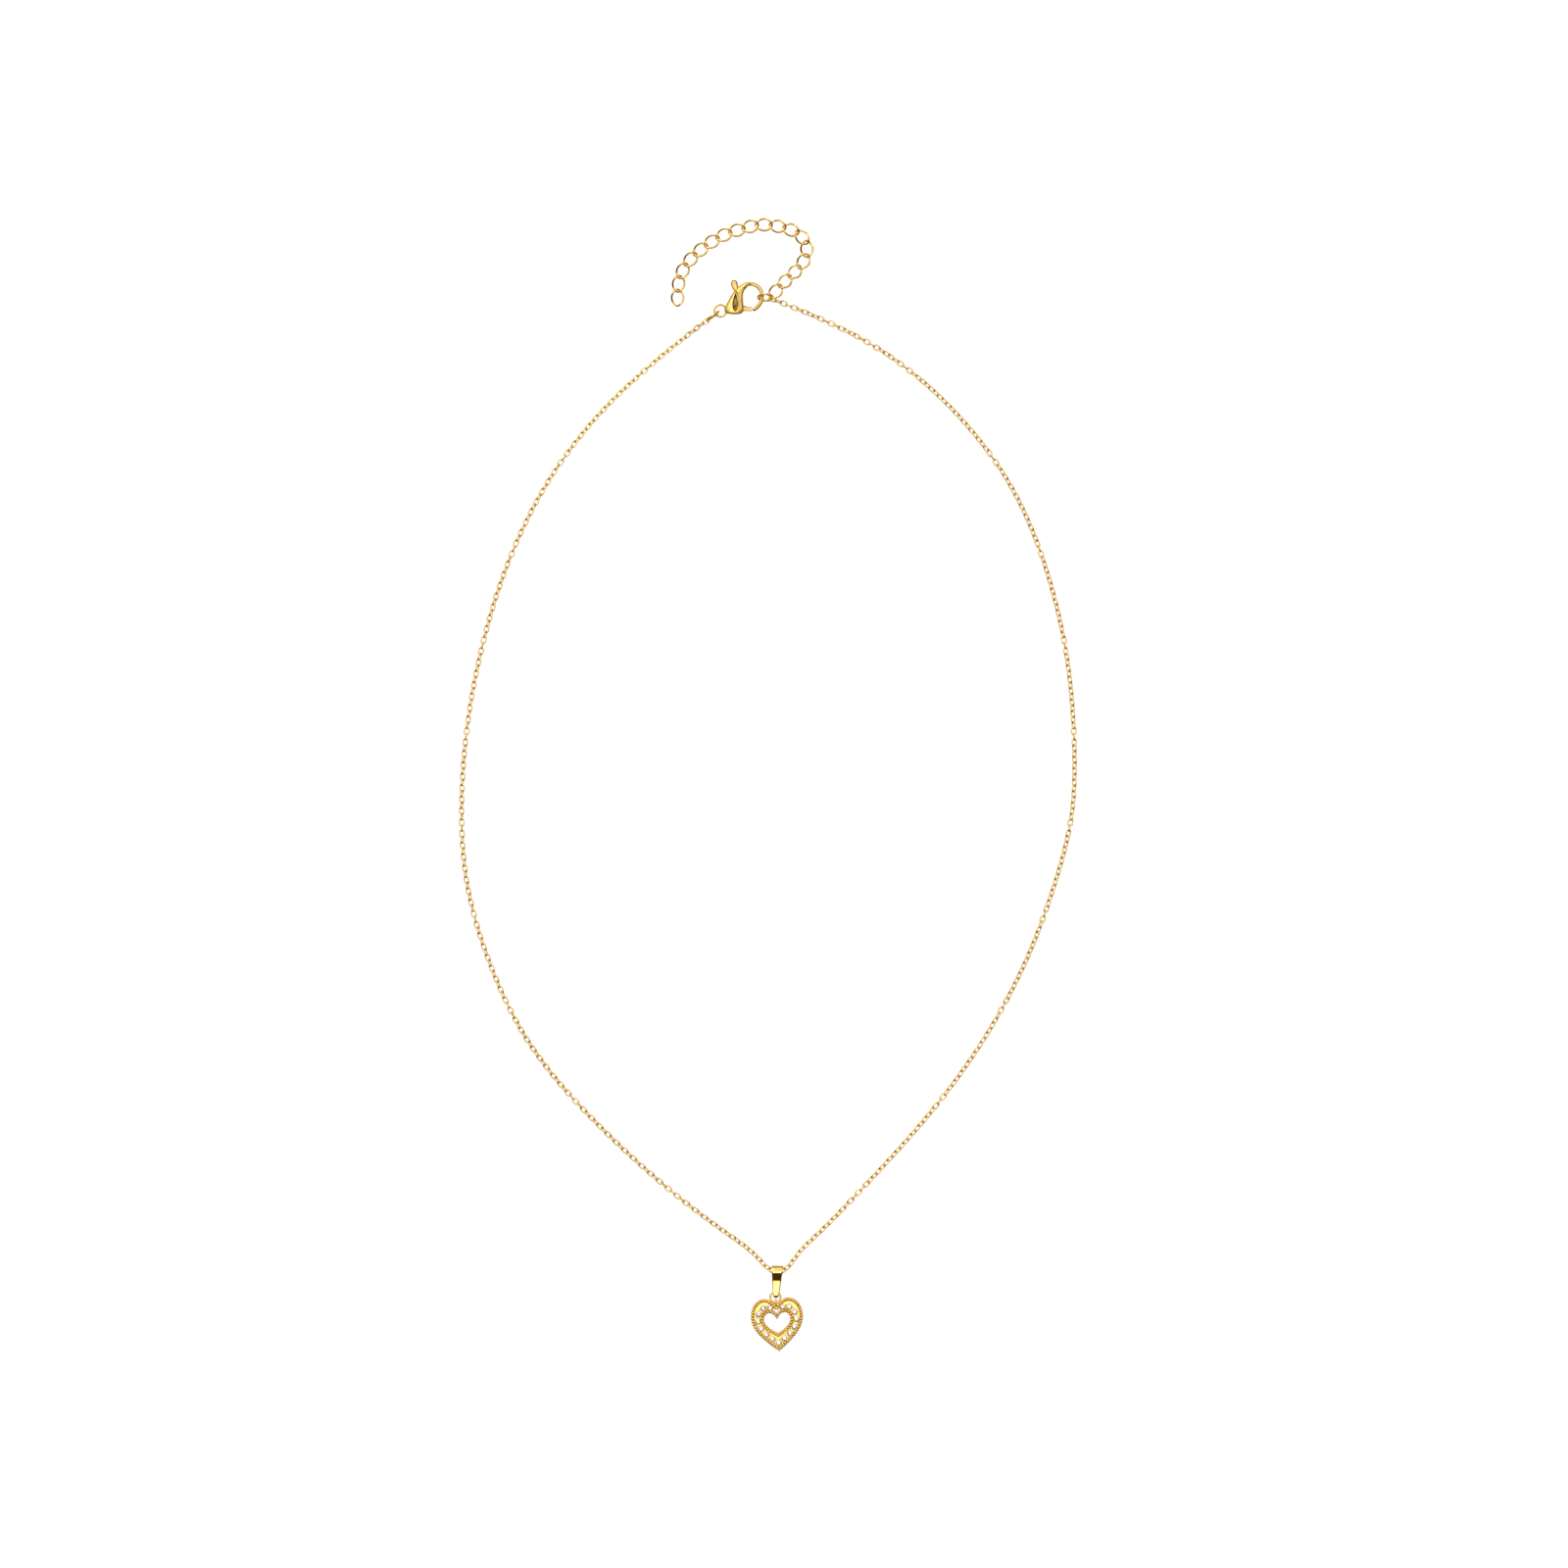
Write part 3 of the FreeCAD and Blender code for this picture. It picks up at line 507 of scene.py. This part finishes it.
def bail_path():
    """(y, z) outline of the strap from the side: rolled top, stepped front, level tongue and flat back."""
    roll = [(BAIL_TOP[1] - BAIL_ROLL + BAIL_ROLL * math.cos(a), BAIL_ROLL + BAIL_ROLL * math.sin(a))
            for a in [math.radians(t) for t in range(-90, 91, 20)]]
    front = [(-93.90, 2.27), (-94.12, 2.18), (-94.42, 1.97), (-94.70, 1.80), (-95.00, 1.66), (-95.40, 1.60),
             (-96.50, 1.575), (-97.40, 1.57), (-98.15, 1.55)]
    fold = [(-98.50, 1.40), (-98.62, 0.85), (-98.48, 0.33), (-98.00, 0.04)]
    back = [(-97.2, 0.0), (-96.2, 0.0), (-95.2, 0.0), (-94.3, 0.0)]
    return smooth_path(roll + front + fold + back, True, 6)


def build_bail():
    path = bail_path()
    count = len(path)
    bevel, thick = BAIL_BEVEL, BAIL_THICKNESS
    verts = []
    for i, (y, z) in enumerate(path):
        ahead, behind = path[(i + 1) % count], path[i - 1]
        dy, dz = ahead[0] - behind[0], ahead[1] - behind[1]
        size = math.hypot(dy, dz)
        inward = Vector((0, -dz / size, dy / size))
        down = (BAIL_TOP[1] - y) / (BAIL_TOP[1] - BAIL_LOW[1])
        x = BAIL_TOP[0] + (BAIL_LOW[0] - BAIL_TOP[0]) * down
        half = bail_half_width(y)
        side = [(half - bevel, 0.0), (half - 0.35 * bevel, 0.3 * bevel), (half, bevel), (half, thick - bevel),
                (half - bevel, thick)]
        face = [(-0.5 * half, 0.0), (0.0, 0.0), (0.5 * half, 0.0)]
        section = face + side + [(-a, d) for a, d in side[::-1]]
        verts.extend(Vector((x + a, y, z)) + inward * d for a, d in section)
    faces = grid_faces(count, len(verts) // count, close_rows=True)
    obj = mesh_object("bail_strap", verts, faces, GOLD_BAIL, smooth_angle=40)
    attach(obj, "bail")
    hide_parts("bail")


build_bail()


# ---------------------------------------------------------------- clasp
CLASP_MIDDLE = 1.10
HOOK_MIDDLE = 1.25
HOOK_HALF = 0.36
HOOK_GROOVE = 0.30
# Turn along the hook, in degrees, over which it grows into the body.
HOOK_ROOT = (78, 108)
# Half height of the foot, and what the case adds to it.
FOOT_HALF = 0.45
CASE_RISE = 0.65
# Superellipse powers: the case's, what it loses towards the hook, and the hook's.
CASE_POWER = 2.9
POWER_LOSS = 0.8
HOOK_POWER = 2.1
CLASP_SIDES = 72
CLASP_SHARP = 48
# Back edge and front edge of the clasp's body at the same stations, from its foot up to the hook.
CLASP_BACK = [(-6.60, 89.90), (-7.55, 89.99), (-8.16, 90.22), (-8.29, 90.82), (-7.98, 91.65), (-7.50, 92.60),
              (-6.93, 93.58), (-6.22, 94.55), (-5.42, 95.30), (-4.62, 95.78)]
CLASP_FRONT = [(-6.20, 89.90), (-5.45, 89.93), (-4.92, 90.15), (-4.66, 90.62), (-4.64, 91.35), (-4.70, 92.15),
               (-4.74, 92.95), (-4.72, 93.75), (-4.48, 94.45), (-4.06, 94.93)]
# Arcs of the hook's middle line: centre, radius, first and last angle in degrees, and steps.
HOOK_BENDS = [((-3.40, 93.42), 2.30, 108, 0, 45), ((-4.10, 93.42), 3.00, -4, -60, 27)]
POCKET = [(-5.98, 94.20), (-5.70, 93.55), (-5.60, 92.60), (-5.66, 91.60), (-5.86, 90.78), (-6.20, 90.50),
          (-6.55, 90.80), (-6.72, 91.60), (-6.62, 92.50), (-6.34, 93.45)]
# Depth profile of the pocket: height, and size as a share of its outline.
POCKET_LEVELS = [(0.75, 0.80), (0.85, 0.93), (1.75, 1.0), (2.02, 1.03), (2.6, 1.25)]
# The lever's three bars: x, y, half width, lower height and upper height at each station.
THUMB = [(-5.75, 93.40, 0.40, 0.70, 1.36), (-5.95, 94.20, 0.44, 0.68, 1.40), (-6.14, 94.80, 0.52, 0.56, 1.48),
         (-6.32, 95.35, 0.62, 0.50, 1.55), (-6.45, 95.83, 0.66, 0.50, 1.55), (-6.53, 96.14, 0.57, 0.50, 1.54),
         (-6.59, 96.34, 0.38, 0.55, 1.46), (-6.62, 96.44, 0.12, 0.75, 1.25)]
ARM = [(-5.35, 91.05, 0.42, 0.68, 1.38), (-5.50, 92.30, 0.42, 0.68, 1.38), (-5.75, 93.40, 0.41, 0.70, 1.36)]
GATE = [(-5.35, 91.05, 0.40, 0.68, 1.38), (-4.55, 91.02, 0.52, 0.68, 1.40), (-4.38, 91.01, 0.50, 0.68, 1.40),
        (-4.28, 90.96, 0.41, 0.68, 1.38), (-3.40, 90.90, 0.41, 0.68, 1.38), (-3.07, 90.88, 0.38, 0.72, 1.34)]
BAR_SIDES = 32


def step(low, high, value):
    """Smooth rise from 0 at low to 1 at high."""
    t = min(max((value - low) / (high - low), 0), 1)
    return t * t * (3 - 2 * t)


def superellipse(angle, power):
    """Point of a unit outline that goes from round to square as the power grows from 2."""
    c, s = math.cos(angle), math.sin(angle)
    return math.copysign(abs(c) ** (2 / power), c), math.copysign(abs(s) ** (2 / power), s)


def clasp_stations():
    """(back point, front point, middle height, half height, squareness, is it the hook) along the clasp."""
    stations = []
    back, front = smooth_path(CLASP_BACK, False, 14), smooth_path(CLASP_FRONT, False, 14)
    last = len(back) - 1
    for i, (a, b) in enumerate(zip(back, front)):
        t = i / last
        thick = FOOT_HALF + CASE_RISE * step(0.0, 0.24, t)
        taper = step(0.62, 1.0, t)
        half = thick + (HOOK_HALF + 0.22 - thick) * taper
        middle = CLASP_MIDDLE + (HOOK_MIDDLE - CLASP_MIDDLE) * taper
        stations.append((Vector(a), Vector(b), middle, half, CASE_POWER - POWER_LOSS * taper, 0.0))
    for (cx, cy), radius, first, end, count in HOOK_BENDS:
        for k in range(count + 1):
            angle = math.radians(first + (end - first) * k / count)
            way = Vector((math.cos(angle), math.sin(angle)))
            root = step(*HOOK_ROOT, math.degrees(angle))
            half = HOOK_HALF + 0.14 * root
            centre = Vector((cx, cy)) + way * radius
            stations.append((centre + way * HOOK_HALF, centre - way * (HOOK_HALF + 0.10 * root), HOOK_MIDDLE,
                             half, HOOK_POWER, 1.0 - root))
    return stations


def clasp_body(verts, faces):
    """Case and hook in one skin through the stations, grooved along the hook and rounded off at its end."""
    stations = clasp_stations()
    for a, b, middle, half, power, hook in stations:
        for k in range(CLASP_SIDES):
            c, s = superellipse(2 * math.pi * k / CLASP_SIDES, power)
            flat = (a + b) * 0.5 + (a - b) * 0.5 * c
            z = middle + half * s
            if s > 0.3:
                z -= HOOK_GROOVE * hook * step(0.34, 0.14, abs(c + 0.05))
            verts.append(Vector((flat.x, flat.y, z)))
    end_a, end_b = stations[-1][:2]
    centre = end_a.lerp(end_b, 0.5)
    across = (end_a - end_b).normalized()
    ahead = Vector((across.y, -across.x))
    for s in (0.35, 0.7, 0.92, 1.0):
        shrink = math.sqrt(max(1 - s * s, 0.0))
        for k in range(CLASP_SIDES):
            c, h = superellipse(2 * math.pi * k / CLASP_SIDES, HOOK_POWER)
            flat = centre + ahead * (HOOK_HALF * s) + (end_a - end_b) * 0.5 * c * shrink
            verts.append(Vector((flat.x, flat.y, HOOK_MIDDLE + HOOK_HALF * h * shrink)))
    faces.extend(grid_faces(len(verts) // CLASP_SIDES, CLASP_SIDES))
    faces.append(tuple(range(CLASP_SIDES)))


def cut_pocket(body):
    """Opens the teardrop pocket in the case's top; its walls and floor are rougher and darkened with painted
    shade.
    """
    outline = smooth_path(POCKET, True, 8)
    count = len(outline)
    centre = Vector((sum(x for x, y in outline) / count, sum(y for x, y in outline) / count))
    verts = []
    for z, share in POCKET_LEVELS:
        for x, y in outline:
            spot = centre + (Vector((x, y)) - centre) * share
            verts.append(Vector((spot.x, spot.y, z)))
    caps = [tuple(range(count)), tuple(range(len(verts) - count, len(verts)))]
    faces = grid_faces(len(POCKET_LEVELS), count) + caps
    cutter = mesh_object("pocket_cutter", verts, faces, GOLD_POCKET_SHADE, smooth_angle=CLASP_SHARP)
    cut = body.modifiers.new("pocket", "BOOLEAN")
    cut.object = cutter
    cut.solver = "EXACT"
    cut.material_mode = "TRANSFER"
    bpy.context.view_layer.update()
    whole = body.evaluated_get(bpy.context.evaluated_depsgraph_get())
    opened = bpy.data.meshes.new_from_object(whole)
    body.modifiers.clear()
    body.data = opened
    shade_smooth(opened, CLASP_SHARP)
    bpy.data.objects.remove(cutter)


def tapered_bar(verts, faces, stations, dish=0.0, power=3.2):
    """Bar through the stations; its top is dished by the given depth, less where the bar is narrow."""
    around = BAR_SIDES
    stations = smooth_path(stations, False, 6)
    rows = []
    for i, (x, y, half, low, high) in enumerate(stations):
        x0, y0 = stations[max(i - 1, 0)][:2]
        x1, y1 = stations[min(i + 1, len(stations) - 1)][:2]
        size = math.hypot(x1 - x0, y1 - y0)
        side = Vector((-(y1 - y0) / size, (x1 - x0) / size))
        for k in range(around):
            c, s = superellipse(2 * math.pi * k / around, power)
            z = 0.5 * (low + high) + 0.5 * (high - low) * s
            if s > 0.3:
                z -= dish * step(0.78, 0.50, abs(c)) * step(0.25, 0.5, half)
            rows.append(Vector((x + side.x * half * c, y + side.y * half * c, z)))
    caps = [tuple(range(around)), tuple(range(len(rows) - around, len(rows)))]
    add_part(verts, faces, (rows, grid_faces(len(stations), around) + caps))


def build_case():
    verts, faces = [], []
    clasp_body(verts, faces)
    body = mesh_object("clasp_case", verts, faces, GOLD_CLASP, smooth_angle=CLASP_SHARP)
    cut_pocket(body)
    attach(body, "clasp")
    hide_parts("clasp_body")


def build_eye():
    """Ring at the clasp's back, which the left end ring hangs in."""
    verts, faces = [], []
    torus(verts, faces, Vector((-9.10, 90.60, 1.10)), (X, Y, Z), 1.13, 0.215, 72, 20)
    eye = mesh_object("clasp_eye", verts, faces, GOLD_CLASP, smooth_angle=60)
    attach(eye, "clasp")


def build_lever():
    verts, faces = [], []
    tapered_bar(verts, faces, THUMB, dish=0.30)
    tapered_bar(verts, faces, ARM)
    tapered_bar(verts, faces, GATE, dish=0.12, power=2.4)
    lever = mesh_object("clasp_trigger", verts, faces, GOLD_LEVER_SHADED, smooth_angle=CLASP_SHARP)
    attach(lever, "clasp_lever")
    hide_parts("clasp_lever")


build_case()
build_eye()
build_lever()


# ---------------------------------------------------------------- stage, light, camera
# Distances of the stage, its lights and its camera are in metres.
FLOOR_HALF = 3.0
FLOOR_Z = -0.00004
FLOOR_GLOW = 1.35
FLOOR_GLOW_SHARE = 0.68
FLOOR_SHADE = (0.66, 0.50, 0.26, 1)
FLOOR_SHADE_STRENGTH = 0.80
ROOM_UP = (-0.15, 0.80, 0.50)
ROOM_STRENGTH = 0.95
LENS = 110
SENSOR = 36
FIELD = 0.3008
CAMERA_X, CAMERA_Y = 0.0031, -0.0001


def floor():
    """Glowing white floor; glossy rays see a warm grey instead, which darkens the edges of the metal."""
    mesh = bpy.data.meshes.new("floor")
    sides = ((-1, -1), (1, -1), (1, 1), (-1, 1))
    corners = [(FLOOR_HALF * x, FLOOR_HALF * y, FLOOR_Z) for x, y in sides]
    mesh.from_pydata(corners, [], [(0, 1, 2, 3)])
    obj = bpy.data.objects.new("floor", mesh)
    bpy.context.scene.collection.objects.link(obj)
    mat, tree, bsdf = material("floor_white")
    bsdf.inputs["Base Color"].default_value = (0.93, 0.93, 0.93, 1)
    bsdf.inputs["Roughness"].default_value = 0.9
    glow = tree.nodes.new("ShaderNodeEmission")
    glow.inputs["Strength"].default_value = FLOOR_GLOW
    shade = tree.nodes.new("ShaderNodeEmission")
    shade.inputs["Color"].default_value = FLOOR_SHADE
    shade.inputs["Strength"].default_value = FLOOR_SHADE_STRENGTH
    paper = tree.nodes.new("ShaderNodeMixShader")
    paper.inputs["Fac"].default_value = FLOOR_GLOW_SHARE
    tree.links.new(bsdf.outputs["BSDF"], paper.inputs[1])
    tree.links.new(glow.outputs["Emission"], paper.inputs[2])
    rays = tree.nodes.new("ShaderNodeLightPath")
    seen = tree.nodes.new("ShaderNodeMixShader")
    tree.links.new(rays.outputs["Is Glossy Ray"], seen.inputs["Fac"])
    tree.links.new(paper.outputs["Shader"], seen.inputs[1])
    tree.links.new(shade.outputs["Emission"], seen.inputs[2])
    tree.links.new(seen.outputs["Shader"], tree.nodes["Material Output"].inputs["Surface"])
    obj.data.materials.append(mat)


def area_light(name, place, target, size, power):
    data = bpy.data.lights.new(name, "AREA")
    data.shape = "RECTANGLE"
    data.size, data.size_y = size
    data.energy = power
    obj = bpy.data.objects.new(name, data)
    obj.location = place
    obj.rotation_euler = (Vector(target) - Vector(place)).to_track_quat("-Z", "Y").to_euler()
    bpy.context.scene.collection.objects.link(obj)


def world():
    """Pale studio room: bright overhead and beyond the clasp, dim on the side of the pendant."""
    scene = bpy.context.scene
    scene.world = bpy.data.worlds.new("studio")
    scene.world.use_nodes = True
    tree = scene.world.node_tree
    back = tree.nodes["Background"]
    coords = tree.nodes.new("ShaderNodeTexCoord")
    dot = tree.nodes.new("ShaderNodeVectorMath")
    dot.operation = "DOT_PRODUCT"
    dot.inputs[1].default_value = ROOM_UP
    tree.links.new(coords.outputs["Generated"], dot.inputs[0])
    tone = ramp(tree, dot.outputs["Value"], [(0.0, (0.07, 0.035, 0.015)), (0.26, (0.30, 0.23, 0.15)),
                                             (0.50, (0.88, 0.87, 0.85)), (1.0, (1.1, 1.1, 1.1))])
    tree.links.new(tone.outputs["Color"], back.inputs["Color"])
    back.inputs["Strength"].default_value = ROOM_STRENGTH


def camera():
    """Looks straight down on the necklace from where its field is as wide as FIELD."""
    data = bpy.data.cameras.new("camera")
    data.lens = LENS
    data.sensor_width = SENSOR
    distance = FIELD * LENS / SENSOR
    obj = bpy.data.objects.new("camera", data)
    obj.location = (CAMERA_X, CAMERA_Y, distance)
    data.clip_start = 0.01
    data.clip_end = 20
    bpy.context.scene.collection.objects.link(obj)
    bpy.context.scene.camera = obj


floor()
world()
area_light("key", (-0.35, 0.65, 0.75), (0, 0, 0), (0.6, 0.5), 2.2)
area_light("fill", (0.7, 0.1, 0.6), (0, 0, 0), (0.5, 0.5), 0.6)
area_light("top", (0.0, -0.1, 1.5), (0, 0, 0), (0.9, 0.9), 3.0)
camera()
scene = bpy.context.scene
scene.view_settings.view_transform = "Standard"
scene.view_settings.exposure = 0.0
